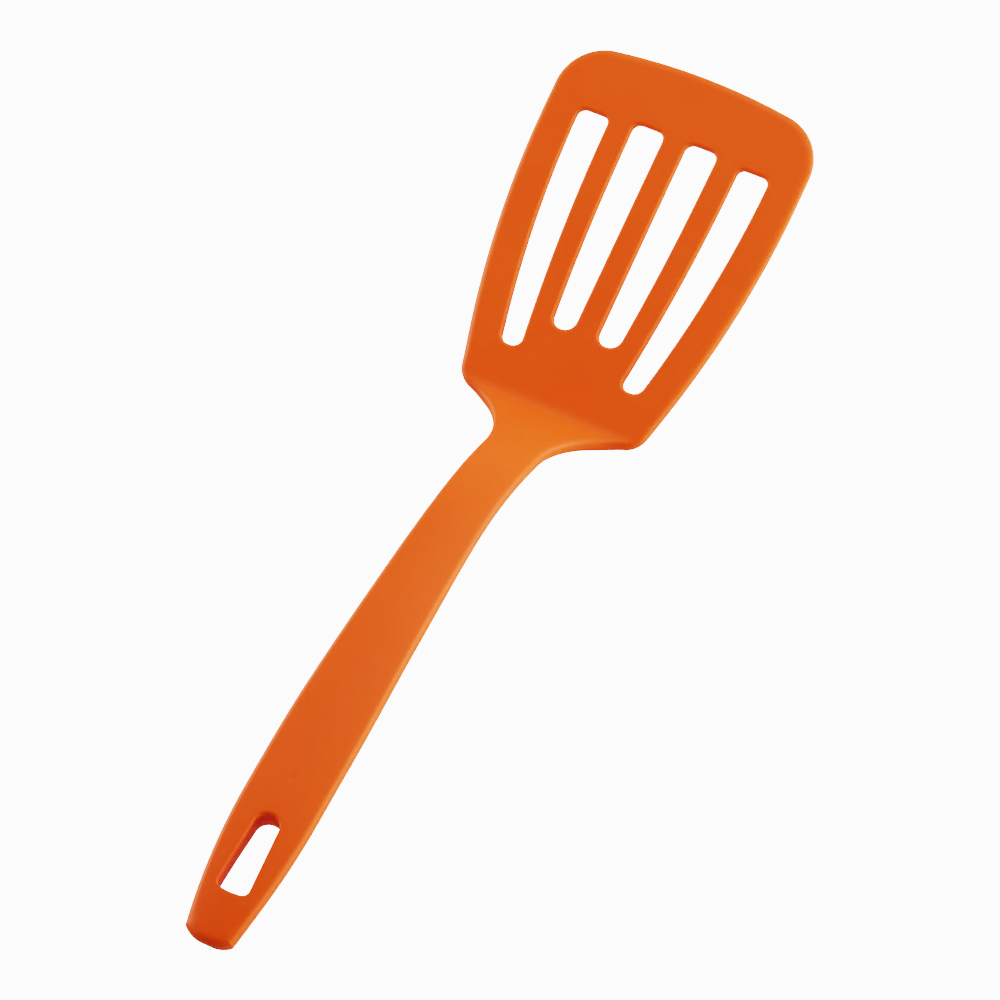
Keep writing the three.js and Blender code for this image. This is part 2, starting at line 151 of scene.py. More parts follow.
def below(s):
    """Depth of the underside under the centre line."""
    share = 1 - GRIP_TOP / GRIP_THICKNESS
    full = GRIP_THICKNESS * share
    neck = NECK_THICKNESS - NECK_TOP
    handle = through([(-HANDLE_LENGTH, END_THICKNESS * share), (GRIP_BACK, full), (GRIP_FRONT, full),
                      (NECK_BACK, neck), (NECK_FRONT, neck), (THIN_FROM, HEEL_THICKNESS / 2)], s)
    return np.where(s > THIN_FROM, blade_half(s), handle)


stations = np.array([GRIP_FRONT, NECK_FRONT, BLADE_LENGTH])
print("grip, neck and tip thickness in mm:", np.round(above(stations) + below(stations), 2))

# %% Crown of the top face
GRIP_CROWN = 0.9
NECK_CROWN = 0.5


def crown(s):
    """How far the middle of the top face stands over its edges."""
    return through([(GRIP_FRONT, GRIP_CROWN), (NECK_FRONT, NECK_CROWN), (0, 0)], s)


print("crown of the grip, neck and tip in mm:", np.round(crown(stations), 2))

# %% [markdown]
# ## The handle's section
# The handle is nearly flat on top with a tight edge, and round below like a belly, so that it lies in the
# fingers. The blade's edge is the same above and below. Each edge is a quarter ellipse over a short
# upright wall.

# %% Width of the rounding, seen from above
BLADE_EDGE = 2.4
HANDLE_TOP_EDGE = 1.6
HANDLE_UNDER_EDGE = 4.5
END_TOP_EDGE = 2.4
END_UNDER_EDGE = 1.5
TOP_CHANGES = (-4.0, 8.0)
UNDER_CHANGES = (NECK_FRONT, 0.0)


def edge_width(end, handle, changes, s):
    """Width of a rounding, seen from above: even along the handle, and eased to its end and to the blade."""
    start, stop = changes
    return through([(-HANDLE_LENGTH, end), (GRIP_BACK, handle), (start, handle), (stop, BLADE_EDGE)], s)


def top_edge(s):
    """Width of the rounding over the wall."""
    return edge_width(END_TOP_EDGE, HANDLE_TOP_EDGE, TOP_CHANGES, s)


def under_edge(s):
    """Width of the rounding under the wall."""
    return edge_width(END_UNDER_EDGE, HANDLE_UNDER_EDGE, UNDER_CHANGES, s)


print("upper rounding of the grip, neck and tip, width in mm:", np.round(top_edge(stations), 2))

# %% Height of the rounding
BLADE_WALL = 0.5
BLADE_TOP_SHARE = 0.5
HANDLE_WALL = 1.0
HANDLE_TOP_SHARE = 0.24


def edge_depths(s):
    """Heights of the upper and the lower rounding: they share what the wall leaves of the thickness."""
    start, stop = TOP_CHANGES
    wall = through([(start, HANDLE_WALL), (stop, BLADE_WALL)], s)
    share = through([(start, HANDLE_TOP_SHARE), (stop, BLADE_TOP_SHARE)], s)
    thickness = above(s) + below(s)
    rounded = thickness - np.minimum(wall, thickness / 2)
    return rounded * share, rounded * (1 - share)


def rolled(distance, width, depth):
    """Drop of a quarter ellipse at a distance from the outline.
    It is depth * (1 - sqrt(1 - (1 - distance / width)^2)), and nothing past the width."""
    reach = np.clip(1 - distance / width, 0, 1)
    return depth * (1 - np.sqrt(1 - reach ** 2))


print("height of the grip's upper and lower rounding in mm:",
      np.round(np.ravel(edge_depths(np.array([GRIP_FRONT]))), 2))

# %% [markdown]
# ## Outlines with round corners
# The plan of a moulded part is drawn with straights and arcs. A Bezier curve object could hold it, but
# the edge needs its exact normals, so one function walks round a polygon and rounds each corner to its
# own radius.

# %% Walk round a polygon with rounded corners
PATH_STEP = 0.9
SHORTEST_STEP = 0.045
ARC_STEP = 5 * DEGREE


def rounded_path(corners):
    """A closed anticlockwise polygon of (u, s, radius) corners, each swapped for the arc that touches both
    its sides. An arc starts radius * tan(turn / 2) before its corner. Gives the points, their outward
    normals and the radii of the convex arcs."""
    corner = np.array(corners, float)
    place, radius = corner[:, :2], corner[:, 2]
    side = np.roll(place, -1, axis=0) - place
    length = np.linalg.norm(side, axis=1)
    ahead = side / length[:, None]
    behind = np.roll(ahead, 1, axis=0)
    turn = np.arctan2(behind[:, 0] * ahead[:, 1] - behind[:, 1] * ahead[:, 0], (behind * ahead).sum(1))
    reach = radius * np.abs(np.tan(turn / 2))
    share = length * reach / (reach + np.roll(reach, -1))
    share_back = np.roll(length, 1) * reach / (reach + np.roll(reach, 1))
    cut = np.minimum(reach, np.minimum(share, share_back))
    radius = cut / np.abs(np.tan(turn / 2))
    points, normals, rooms = [], [], []
    for k in range(len(place)):
        side_normal = np.array([behind[k, 1], -behind[k, 0]])
        start = place[k] - behind[k] * cut[k]
        steps = math.ceil(max(abs(turn[k]) * radius[k] / PATH_STEP, abs(turn[k]) / ARC_STEP))
        angle = turn[k] * np.arange(steps + 1) / steps
        swing = np.stack([np.cos(angle), -np.sin(angle), np.sin(angle), np.cos(angle)], -1).reshape(-1, 2, 2)
        arc_normal = swing @ side_normal
        centre = start - side_normal * radius[k] * np.sign(turn[k])
        points.append(centre + arc_normal * radius[k] * np.sign(turn[k]))
        normals.append(arc_normal)
        rooms.append(np.full(steps + 1, radius[k] if turn[k] > 0 else np.inf))
        left = length[k] - cut[k] - cut[(k + 1) % len(place)]
        pieces = max(math.ceil(left / PATH_STEP), 1)
        along = left * np.arange(1, pieces) / pieces
        points.append(place[k] + ahead[k] * (cut[k] + along)[:, None])
        normals.append(np.tile([ahead[k, 1], -ahead[k, 0]], (pieces - 1, 1)))
        rooms.append(np.full(pieces - 1, np.inf))
    points, normals, rooms = np.concatenate(points), np.concatenate(normals), np.concatenate(rooms)
    keep = np.linalg.norm(points - np.roll(points, 1, axis=0), axis=1) > SHORTEST_STEP
    return points[keep], normals[keep], rooms[keep]


# %% [markdown]
# ## The plan of the turner
# The blade widens from its heel to a broad tip with big round corners, so that it follows a pan's wall.
# The neck is narrow to bend a little, the grip swells for the palm, and the end tapers to a small round.
# Only the right half is drawn. Its mirror image closes the loop.

# %% Where two lines cross
def meeting(point_a, heading_a, point_b, heading_b):
    """Where two lines cross; a heading is the angle from straight ahead (+s) towards the right (+u)."""
    (ua, sa), (ub, sb) = point_a, point_b
    t = ((ub - ua) * math.cos(heading_b) - (sb - sa) * math.sin(heading_b)) / math.sin(heading_a - heading_b)
    return ua + t * math.sin(heading_a), sa + t * math.cos(heading_a)


# %% The outer outline
BLADE_HALF_WIDTH = 40.0
WIDEST_INSET = 23.66
SIDE_RADIUS = 293.0
SIDE_LEAN = 14.26 * DEGREE
TIP_CROWN_RADIUS = 190.0
TIP_CROWN_HALF = 25.0
TIP_CORNER_RADIUS = 14.72
HEEL_CORNER_RADIUS = 7.13
SHOULDER_RADIUS = 24.76
SHOULDER_RISE = 21.74 * DEGREE
SHOULDER_FOOT = -9.33
NECK_HALF_WIDTH = 8.33
GRIP_HALF_WIDTH = 11.14
NECK_ENDS = -56.4
SWELL_ENDS = -131.8
SWELL_RADIUS = 590.0
TAPER_FROM = 45.5 - HANDLE_LENGTH
TAPER_RADIUS = 221.0
TAPER_LEAN = 11.83 * DEGREE
END_CROWN_RADIUS = 11.83
END_CROWN_SWEEP = 40.9 * DEGREE
END_CORNER_RADIUS = 1.49


def turner_corners():
    """Corners of the right half, from the handle's end to the tip, then the same corners mirrored."""
    taper = (GRIP_HALF_WIDTH, TAPER_FROM - TAPER_RADIUS * math.tan(TAPER_LEAN / 2))
    end = (END_CROWN_RADIUS * math.tan(END_CROWN_SWEEP / 2), -HANDLE_LENGTH)
    end_corner = meeting(end, math.pi / 2 - END_CROWN_SWEEP, taper, TAPER_LEAN)
    side = (BLADE_HALF_WIDTH, BLADE_LENGTH - WIDEST_INSET - SIDE_RADIUS * math.tan(SIDE_LEAN / 2))
    foot = (NECK_HALF_WIDTH, SHOULDER_FOOT)
    heel = meeting(foot, math.pi / 2 - SHOULDER_RISE, side, SIDE_LEAN)
    sweep = math.asin(TIP_CROWN_HALF / TIP_CROWN_RADIUS)
    crown_corner = TIP_CROWN_RADIUS * math.tan(sweep / 2)
    tip_corner = (BLADE_HALF_WIDTH, BLADE_LENGTH - (BLADE_HALF_WIDTH - crown_corner) * math.tan(sweep))
    right = [
        (*end, END_CROWN_RADIUS), (*end_corner, END_CORNER_RADIUS), (*taper, TAPER_RADIUS),
        (GRIP_HALF_WIDTH, SWELL_ENDS, SWELL_RADIUS), (NECK_HALF_WIDTH, NECK_ENDS, SWELL_RADIUS),
        (*foot, SHOULDER_RADIUS), (*heel, HEEL_CORNER_RADIUS), (*side, SIDE_RADIUS),
        (*tip_corner, TIP_CORNER_RADIUS), (crown_corner, BLADE_LENGTH, TIP_CROWN_RADIUS),
    ]
    return right + [(-u, s, radius) for u, s, radius in reversed(right)]


outer = rounded_path(turner_corners())
print("outer outline:", len(outer[0]), "points,", np.round(np.ptp(outer[0], axis=0), 2), "mm")

# %% [markdown]
# ## Slots and the hang hole
# Four slots let fat drain. They lean with the blade's sides, so each is drawn by what is left of the
# blade beside it: a side band, a slot, a rib, and the middle rib. The hole in the handle's end takes a
# kitchen hook. A hole's path runs the other way round, so that every path keeps the silicone on its left.

# %% The four slots
SIDE_BANDS = (18.18, 10.72, 10.06)
OUTER_SLOT_WIDTHS = (6.3, 9.16, 9.51)
RIB_WIDTHS = (5.1, 7.49, 7.24)
CENTRE_RIB = 7.12
OUTER_SLOT_FROM = 12.46
INNER_SLOT_FROM = 22.1
SLOT_MIDDLE = 49.0
OUTER_SLOT_TO = BLADE_LENGTH - 21.09
INNER_SLOT_TO = BLADE_LENGTH - 19.53
OUTER_SLOT_FOOT = 3.09
INNER_SLOT_FOOT = 3.48
SLOT_TOP_RADIUS = 2.49
SLOT_SIDE_BOW = 340.0
SLOT_RIB_BOW = 675.0


def as_hole(path):
    """The same path walked backwards, with normals that point out of the silicone."""
    points, normals, rooms = path
    return points[::-1], -normals[::-1], np.full(len(points), np.inf)


def slot_corners():
    """Right-hand slots, worked inwards from the blade's side at their foot, middle and top."""
    far = BLADE_HALF_WIDTH - np.array(SIDE_BANDS)
    near = far - OUTER_SLOT_WIDTHS
    inner = near - RIB_WIDTHS
    middle = CENTRE_RIB / 2
    yield [(middle, INNER_SLOT_FROM, INNER_SLOT_FOOT), (inner[0], INNER_SLOT_FROM, INNER_SLOT_FOOT),
           (inner[1], SLOT_MIDDLE, SLOT_RIB_BOW), (inner[2], INNER_SLOT_TO, SLOT_TOP_RADIUS),
           (middle, INNER_SLOT_TO, SLOT_TOP_RADIUS)]
    yield [(near[0], OUTER_SLOT_FROM, OUTER_SLOT_FOOT), (far[0], OUTER_SLOT_FROM, OUTER_SLOT_FOOT),
           (far[1], SLOT_MIDDLE, SLOT_SIDE_BOW), (far[2], OUTER_SLOT_TO, SLOT_TOP_RADIUS),
           (near[2], OUTER_SLOT_TO, SLOT_TOP_RADIUS), (near[1], SLOT_MIDDLE, SLOT_RIB_BOW)]


def mirrored(corners):
    """Mirror image of a polygon, turned round so that it stays anticlockwise."""
    return [(-u, s, radius) for u, s, radius in reversed(corners)]


slots = [as_hole(rounded_path(shape)) for one in slot_corners() for shape in (one, mirrored(one))]
print("points round each slot:", [len(points) for points, _, _ in slots])

# %% The hang hole
HANG_BACK = 14.24 - HANDLE_LENGTH
HANG_FRONT = HANG_BACK + 23.28
HANG_BACK_HALF = 4.83
HANG_FRONT_HALF = 3.55
HANG_BACK_CORNER = 2.04
HANG_FRONT_CORNER = 3.45
HANG_BACK_LEAN = 8 * DEGREE
HANG_BACK_BOW = 15.0

hang_corners = [(HANG_BACK_HALF, HANG_BACK + HANG_BACK_HALF * math.tan(HANG_BACK_LEAN), HANG_BACK_CORNER),
                (HANG_FRONT_HALF, HANG_FRONT, HANG_FRONT_CORNER)]
hang_back = (0.0, HANG_BACK, HANG_BACK_BOW)
hang_hole = as_hole(rounded_path([hang_back] + hang_corners + mirrored(hang_corners)))
print("points round the hang hole:", len(hang_hole[0]))

# %% [markdown]
# ## The soft rim
# Every edge of the skin is rolled over, and half way down runs the faint ridge where the two mould halves
# met. A Bevel modifier would round all edges alike. Here one profile is carried along each path instead,
# so that it can be wide under the grip, slim on the blade and small round the slots. First come the
# heights of the two broad faces at any point, which depend on how far it is from the outline.

# %% Heights of the two faces
LEAST_HALF = 0.05

right_half = outer[0][outer[0][:, 0] >= 0]
right_half = right_half[np.argsort(right_half[:, 1])]


def lift(u, s):
    """The crown: highest on the centre line, falling with the square of u to nothing at the outline."""
    half = np.interp(s, right_half[:, 1], right_half[:, 0])
    across = np.clip(np.abs(u) / np.maximum(half, LEAST_HALF), 0, 1)
    return crown(s) * (1 - across ** 2)


def distance_to(loop, points):
    """Distance from each point to a closed path, over all of the path's straight pieces."""
    run = np.roll(loop, -1, axis=0) - loop
    off = points[..., None, :] - loop
    along = np.clip((off * run).sum(-1) / (run ** 2).sum(-1), 0, 1)
    return np.sqrt(((off - along[..., None] * run) ** 2).sum(-1).min(-1))


def top_height(flat, distance):
    """Height of the top face, with its crown, rolled over near the outline."""
    u, s = flat[..., 0], flat[..., 1]
    return above(s) + lift(u, s) - rolled(distance, top_edge(s), edge_depths(s)[0])


def under_height(flat, distance):
    """Height of the underside, rolled up near the outline."""
    s = flat[..., 1]
    return rolled(distance, under_edge(s), edge_depths(s)[1]) - below(s)


# %% [markdown]
# The rim is a grid. Its rows follow the path, and its columns go over the edge from the top face to the
# underside. Beside the hang hole and in tight corners the grid stays narrow, and the faces take over the
# rest of the rounding.

# %% Strips of the rim
QUARTER_STEPS = 8
EASE_REACH = 5


def eased(width):
    """The least width nearby, then the average nearby, so that a tight corner narrows the edge gently."""
    shifts = range(-EASE_REACH, EASE_REACH + 1)
    least = np.min([np.roll(width, k) for k in shifts], axis=0)
    return np.mean([np.roll(least, k) for k in shifts], axis=0)


def strip(width, edge):
    """Insets from a strip's inner border to the wall, at even angles of a quarter ellipse edge wide."""
    first = np.arcsin(1 - width / edge)[:, None]
    angle = first + (math.pi / 2 - first) * np.linspace(0, 1, QUARTER_STEPS + 1)
    return edge[:, None] * (1 - np.sin(angle))


# %% Carry the rim profile along a path
RIDGE_POINTS = 5
RIDGE_HALF_WIDTH = 0.12
RIDGE_HEIGHT = 0.03


def rim(path, upper, lower, top, under):
    """Upper strip, wall with its ridge and lower strip, at each point of the path. Top and under are the
    faces' heights. Gives flat (u, s), height n and nearness to the wall, on a grid of path by profile."""
    points, normals, _ = path
    ridge = np.linspace(1, -1, RIDGE_POINTS)
    bump = np.tile(RIDGE_HEIGHT * (0.5 + 0.5 * np.cos(math.pi * ridge)), (len(points), 1))
    inset = np.concatenate([upper, -bump, lower[:, ::-1]], axis=1)
    flat = points[:, None] - inset[..., None] * normals[:, None]
    over = top(flat[:, :QUARTER_STEPS + 1], upper)
    beneath = under(flat[:, -QUARTER_STEPS - 1:], lower[:, ::-1])
    middle = (over[:, -1:] + beneath[:, :1]) / 2
    n = np.concatenate([over, middle + RIDGE_HALF_WIDTH * ridge, beneath], axis=1)
    near_top, near_under = (1 - inner / inner[:, :1] for inner in (upper, lower))
    near = np.concatenate([near_top, np.ones_like(bump), near_under[:, ::-1]], axis=1)
    return flat, n, near


# %% Rims of the slots and of the hang hole
SLOT_RIM = 0.9
HANG_TIGHT_RIM = 0.15
HANG_ROUND_RIM = 1.1
HANG_RIM_EASE = 7.0


def hang_rims(s):
    """Widths of the hang hole's rounding above and below. Above it is tight and eases to round at the front.
    Below it is round and eases to tight there."""
    change = HANG_FRONT - HANG_RIM_EASE
    return (through([(change, HANG_TIGHT_RIM), (HANG_FRONT, HANG_ROUND_RIM)], s),
            through([(change, HANG_ROUND_RIM), (HANG_FRONT, HANG_TIGHT_RIM)], s))


def hole_rim(path, upper, lower):
    """The rim of a hole: a quarter circle into each face, upper and lower wide."""
    ring, under_ring = upper[:, None], lower[:, None]

    def top(flat, inset):
        return top_height(flat, distance_to(outer[0], flat)) - rolled(inset, ring, ring)

    def under(flat, inset):
        return under_height(flat, distance_to(outer[0], flat)) + rolled(inset, under_ring, under_ring)

    return rim(path, strip(upper, upper), strip(lower, lower), top, under)


def slot_rim(slot):
    """A slot's rim, equally wide above and below."""
    width = np.full(len(slot[0]), SLOT_RIM)
    return hole_rim(slot, width, width)


hang_widths = [eased(width) for width in hang_rims(hang_hole[0][:, 1])]
hole_rims = [*[slot_rim(slot) for slot in slots], hole_rim(hang_hole, *hang_widths)]
print("grids of the hole rims:", [n.shape for _, n, _ in hole_rims])

# %% The outer rim
CORNER_SHARE = 0.8
BAND_LEFT = 0.6


def outer_rim():
    """The turner's own edge, as wide as its rounding where there is room for it."""
    points, _, rooms = outer
    s = points[:, 1]
    band = distance_to(hang_hole[0], points) - BAND_LEFT
    upper, lower = (strip(eased(np.minimum(edge, np.minimum(CORNER_SHARE * rooms, band - taken))), edge)
                    for edge, taken in zip((top_edge(s), under_edge(s)), hang_rims(s)))
    return rim(outer, upper, lower, top_height, under_height)


rims = [outer_rim(), *hole_rims]
print("grid of the outer rim:", rims[0][1].shape)

# %% [markdown]
# ## The two broad faces
# A sheet with five windows has no natural grid of rows and columns, so its faces are filled another way.
# A square grid of points is laid between the rims and joined by triangles that keep every rim as an edge.
# The underside's rims are wider than those on top, so each side is filled on its own. Two shallow dished
# marks on each face show where studs of the handle core held it in the mould, so rings of points go there.

# %% Inside the outlines
def inside(points, loops):
    """Even-odd rule: a line towards +u from a point inside crosses the loops an odd number of times."""
    crossings = np.zeros(len(points), int)
    for loop in loops:
        (u0, s0), (u1, s1) = loop.T, np.roll(loop, -1, axis=0).T
        level = points[:, 1:]
        spans = (s0 > level) != (s1 > level)
        run = np.where(s1 == s0, 1, s1 - s0)
        crossings += (spans & (points[:, :1] < u0 + (level - s0) * (u1 - u0) / run)).sum(1)
    return crossings % 2 == 1


# %% Points of a face
GRID = 1.1
CLEAR_OF_RIM = 0.55
STUD_MARKS = (-21.2, 49.3 - HANDLE_LENGTH)
RING_SIDES = 28
RING_STEP = 0.2
RING_REACH = 2.4


def mark_rings():
    """Rings of points round each stud mark, with its centre."""
    radius = np.arange(RING_STEP, RING_REACH, RING_STEP)[:, None]
    angle = 2 * math.pi * np.arange(RING_SIDES) / RING_SIDES
    ring = np.stack([radius * np.cos(angle), radius * np.sin(angle)], -1).reshape(-1, 2)
    return np.concatenate([np.concatenate([[[0, 0]], ring]) + [0, s] for s in STUD_MARKS])


def face_points(loops):
    """A square grid, kept where it is inside the loops, clear of them and clear of the stud marks."""
    columns = np.arange(-BLADE_HALF_WIDTH, BLADE_HALF_WIDTH + GRID, GRID)
    rows = np.arange(-HANDLE_LENGTH, BLADE_LENGTH, GRID)
    grid = np.stack(np.meshgrid(columns, rows), -1).reshape(-1, 2)
    grid = grid[np.abs(grid[:, 0]) < np.interp(grid[:, 1], right_half[:, 1], right_half[:, 0])]
    grid = grid[inside(grid, loops)]
    for loop in loops:
        grid = grid[distance_to(loop, grid) > CLEAR_OF_RIM]
    for s in STUD_MARKS:
        grid = grid[np.hypot(grid[:, 0], grid[:, 1] - s) > RING_REACH]
    return np.concatenate([grid, mark_rings()])


# %% Triangles between the rims
WHOLE_HULL = 0
SAME_POINT = 1e-6


def fill(loops, points):
    """Delaunay triangles over the loops and the points. Every path keeps the silicone on its left, so
    a triangle with all its corners on one path is silicone only if they come in the path's own order."""
    flat = np.concatenate([*loops, points])
    first = np.cumsum([0] + [len(loop) for loop in loops])
    rings = [start + np.arange(len(loop)) for loop, start in zip(loops, first)]
    edges = np.concatenate([np.stack([ring, np.roll(ring, -1)], -1) for ring in rings])
    made = delaunay_2d_cdt(flat.tolist(), edges.tolist(), [], WHOLE_HULL, SAME_POINT)
    if len(made[0]) != len(flat):
        raise ValueError("the rims of two holes cross")
    triangles = np.array(made[2])
    a, b, c = triangles.T
    on_loops = [np.full(len(loop), k) for k, loop in enumerate(loops)]
    path = np.concatenate([*on_loops, -1 - np.arange(len(points))])
    on_one_path = (path[a] == path[b]) & (path[b] == path[c])
    follows = ((a < b) & (b < c)) | ((b < c) & (c < a)) | ((c < a) & (a < b))
    return triangles[~on_one_path | follows]


def filled_face(column):
    """Grid points and triangles between the rims' borders in one column of their grids."""
    loops = [flat[:, column] for flat, _, _ in rims]
    points = face_points(loops)
    return points, fill(loops, points)


top_points, top_triangles = filled_face(0)
under_points, under_triangles = filled_face(-1)
print("triangles on top:", len(top_triangles), "and on the underside:", len(under_triangles))

# %% [markdown]
# ## One closed skin, laid on the table
# The rims and the two faces share their border points, so together they are one watertight mesh. It is
# bent along the centre line, then turned until the heel and the handle's end touch the table, and its box
# is centred over the origin, as the CAD skin is.

# %% Depth of the stud marks
MARK_RADIUS = 1.6
MARK_DEPTH = 0.08


def dished(flat):
    """Depth of the stud marks: a smooth bowl, (1 - r^2)^2, inside each mark's radius."""
    marks = np.array(STUD_MARKS)
    r = np.hypot(flat[:, :1], flat[:, 1:] - marks) / MARK_RADIUS
    return (MARK_DEPTH * np.clip(1 - r ** 2, 0, 1) ** 2).sum(1)


print("depth in the middle of a mark in mm:", dished(np.array([[0, STUD_MARKS[0]]])))


# %% Join the rims and the faces
def skin_mesh():
    """Vertices, quads and triangles of the whole skin, and each vertex's nearness to an edge."""
    vertices, nearness, quads, tops, unders = [], [], [], [], []
    start = 0
    for flat, n, near in rims:
        rows, columns = n.shape
        index = start + np.arange(rows * columns).reshape(rows, columns)
        ahead = np.roll(index, -1, axis=0)
        quads.append(np.stack([index[:, :-1], index[:, 1:], ahead[:, 1:], ahead[:, :-1]], -1).reshape(-1, 4))
        vertices.append(bend(flat[..., 0], flat[..., 1], n).reshape(-1, 3))
        nearness.append(near.ravel())
        tops.append(index[:, 0])
        unders.append(index[:, -1])
        start += rows * columns
    heights = (top_height(top_points, distance_to(outer[0], top_points)) - dished(top_points),
               under_height(under_points, distance_to(outer[0], under_points)) + dished(under_points))
    triangles = []
    for borders, points, n, corners in ((tops, top_points, heights[0], top_triangles),
                                        (unders, under_points, heights[1], under_triangles[:, ::-1])):
        vertices.append(bend(points[:, 0], points[:, 1], n))
        nearness.append(np.zeros(len(points)))
        triangles.append(np.concatenate([*borders, start + np.arange(len(points))])[corners])
        start += len(points)
    return [np.concatenate(part) for part in (vertices, quads, triangles, nearness)]


flat_skin, skin_quads, skin_triangles, edge_nearness = skin_mesh()
sides = np.concatenate([np.sort(np.stack([f, np.roll(f, -1, axis=1)], -1).reshape(-1, 2), axis=1)
                        for f in (skin_quads, skin_triangles)])
shared = np.unique(sides, axis=0, return_counts=True)[1]
print("open edges:", int((shared != 2).sum()))

# %% Lay it on the table
LEVEL_PASSES = 4


def on_table(points):
    """Turns the points about X until both ends are level, then sets their box over the origin."""
    back = points[:, 1] < np.interp(NECK_BEND_FROM, LINE_S, LINE_Y)
    for _ in range(LEVEL_PASSES):
        low_back = points[back][points[back, 2].argmin()]
        low_front = points[~back][points[~back, 2].argmin()]
        tilt = (low_back[2] - low_front[2]) / (low_front[1] - low_back[1])
        cos, sin = math.cos(tilt), math.sin(tilt)
        points = points @ np.array([[1, 0, 0], [0, cos, sin], [0, -sin, cos]])
    low, high = points.min(0), points.max(0)
    return points - [(low[0] + high[0]) / 2, (low[1] + high[1]) / 2, low[2]]


laid_skin = on_table(flat_skin)
print("size of the laid skin in mm:", np.round(np.ptp(laid_skin, axis=0), 2))


# %% Make it an object
def put(name, points, faces):
    """A mesh object at the origin, smooth all over."""
    mesh = bpy.data.meshes.new(name)
    mesh.from_pydata(points.tolist(), [], faces)
    mesh.shade_smooth()
    made = bpy.data.objects.new(name, mesh)
    bpy.context.scene.collection.objects.link(made)
    return made


skin = put("silicone_skin_fine", laid_skin * MM, skin_quads.tolist() + skin_triangles.tolist())
# the edge_nearness attribute masks the paler edges, which are partly worn and partly painted sheen
edge_worn_and_sheen_mask = skin.data.attributes.new("edge_nearness", "FLOAT", "POINT")
edge_worn_and_sheen_mask.data.foreach_set("value", edge_nearness.astype(np.float32))
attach(skin, "root")
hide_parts("silicone_skin")
print("skin:", 2 * len(skin_quads) + len(skin_triangles), "triangles")

# %% [markdown]
# ## Materials
# A material is a small graph of nodes. Every colour below is written as on a paint card, in sRGB hex, and
# turned to the linear light that the shader works in. One function adds a node, sets it and links it.

# %% Colours in linear light
def colour(code):
    """sRGB hex to linear RGBA: divide by 12.92 near black, else ((c + 0.055) / 1.055) to the power 2.4."""
    srgb = np.array([int(code[k:k + 2], 16) for k in (1, 3, 5)]) / 255
    linear = np.where(srgb <= 0.04045, srgb / 12.92, ((srgb + 0.055) / 1.055) ** 2.4)
    return (*linear, 1.0)


print("the middle grey #808080 in linear light:", np.round(colour("#808080"), 3))


# %% Add a node
def node(tree, kind, inputs=(), **settings):
    """Adds one node. Settings go on the node, and inputs on its sockets, as values or as links."""
    made = tree.nodes.new(kind)
    for name, value in settings.items():
        setattr(made, name, value)
    for name, value in dict(inputs).items():
        if isinstance(value, bpy.types.NodeSocket):
            tree.links.new(value, made.inputs[name])
        else:
            made.inputs[name].default_value = value
    return made


def new_material(name):
    """An empty material with its output node and the object's own coordinates."""
    made = bpy.data.materials.new(name)
    made.use_nodes = True
    made.node_tree.nodes.clear()
    output = node(made.node_tree, "ShaderNodeOutputMaterial")
    place = node(made.node_tree, "ShaderNodeTexCoord")
    return made, made.node_tree, output, place.outputs["Object"]


# %% Lay a surface
def lay(tree, output, paint, pattern, roughness, relief, finish):
    """The surface: a pattern runs the roughness between two values and raises it by relief millimetres."""
    rough = node(tree, "ShaderNodeMapRange", {
        "Value": pattern, "To Min": roughness[0], "To Max": roughness[1],
    })
    bump = node(tree, "ShaderNodeBump", {"Height": pattern, "Distance": relief * MM})
    shader = node(tree, "ShaderNodeBsdfPrincipled", {
        "Base Color": paint, "Roughness": rough.outputs["Result"], "Normal": bump.outputs["Normal"],
        **finish,
    })
    tree.links.new(shader.outputs["BSDF"], output.inputs["Surface"])


# %% [markdown]
# ## Orange silicone, moulded in a spark-eroded steel mould
# The mould's fine pits make the skin matte, so light spreads into broad soft sheens and no sharp
# reflection shows. The pigment is mixed in by rollers, which leaves very faint clouds a few centimetres
# wide. Edges are paler: partly from handling and wiping, and partly a painted sheen that stands for the
# pale line of light along the edges. A little light travels under the surface and reddens it.

# %% Silicone
MIX_A, MIX_B, MIX_RESULT = 6, 7, 2  # places of the Mix node's colour sockets
SILICONE_ORANGE = "#EB5A1B"
SILICONE_CLOUD = "#E35217"
# painted sheen: this paler edge colour comes partly from handling and partly stands for the light along the
# edges
SILICONE_WORN_AND_SHEEN_EDGE = "#F76C32"
CLOUD_SIZE = 30.0
CLOUD_DETAIL = 3.0
PIT_SIZE = 0.7  # the real pits are about 0.1 mm, too fine to show, so they are drawn coarser
PIT_DETAIL = 2.0
PIT_DEPTH = 0.012
SILICONE_ROUGHNESS = (0.46, 0.56)
EDGE_WORN_AND_SHEEN_SHARE = 0.15
SILICONE_BODY = {
    "IOR": 1.41, "Specular IOR Level": 0.35,
    "Subsurface Weight": 0.08, "Subsurface Scale": 1.0 * MM, "Subsurface Radius": (1.0, 0.3, 0.1),
}


